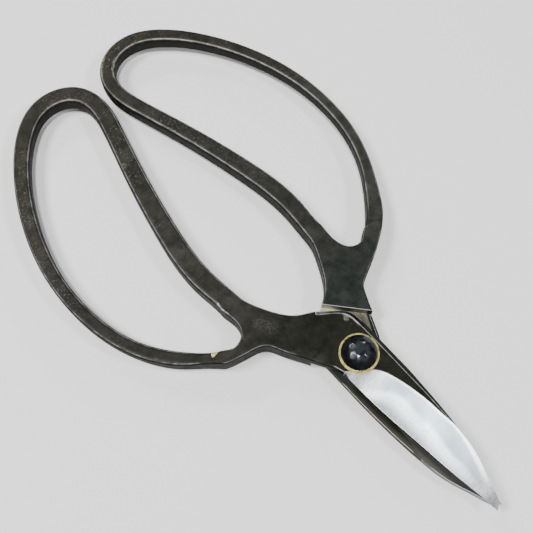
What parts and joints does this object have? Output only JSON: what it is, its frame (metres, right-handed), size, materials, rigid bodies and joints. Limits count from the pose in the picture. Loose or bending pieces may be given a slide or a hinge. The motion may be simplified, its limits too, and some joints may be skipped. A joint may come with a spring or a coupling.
{
  "type": "flower shears",
  "caption": "Hand-forged flower snips: short crossing blades with ground bevels on a riveted pivot and large closed finger bows.",
  "frame": {"origin": "on the pivot axis, at the small flat on the foot of the rivet's tail", "axes": "+Y along the blades to the tips, +Z out of the face with the domed rivet head, +X to the front half's bow"},
  "size_m": [0.1013, 0.1788, 0.0128],
  "materials": {
    "forged_iron": "black forge scale, worn on the edges",
    "cutting_steel": "ground satin",
    "braze": "dull braze",
    "blacked_rivet": "polished black",
    "brass": "polished"
  },
  "bodies": {
    "front_half": {"front_half": "forged_iron", "front_blade_steel": "cutting_steel", "front_bow_braze": "braze", "pivot_rivet": "blacked_rivet", "front_washer": "brass", "rear_washer": "brass"},
    "rear_half": {"rear_half": "forged_iron", "rear_blade_steel": "cutting_steel", "rear_bow_braze": "braze"}
  },
  "joints": [
    {"name": "blade_pivot", "type": "hinge", "parent": "front_half", "child": "rear_half", "pos_m": [0, 0, 0.00573], "axis": [0, 0, -1], "range_deg": [-0.6, 60]}
  ]
}
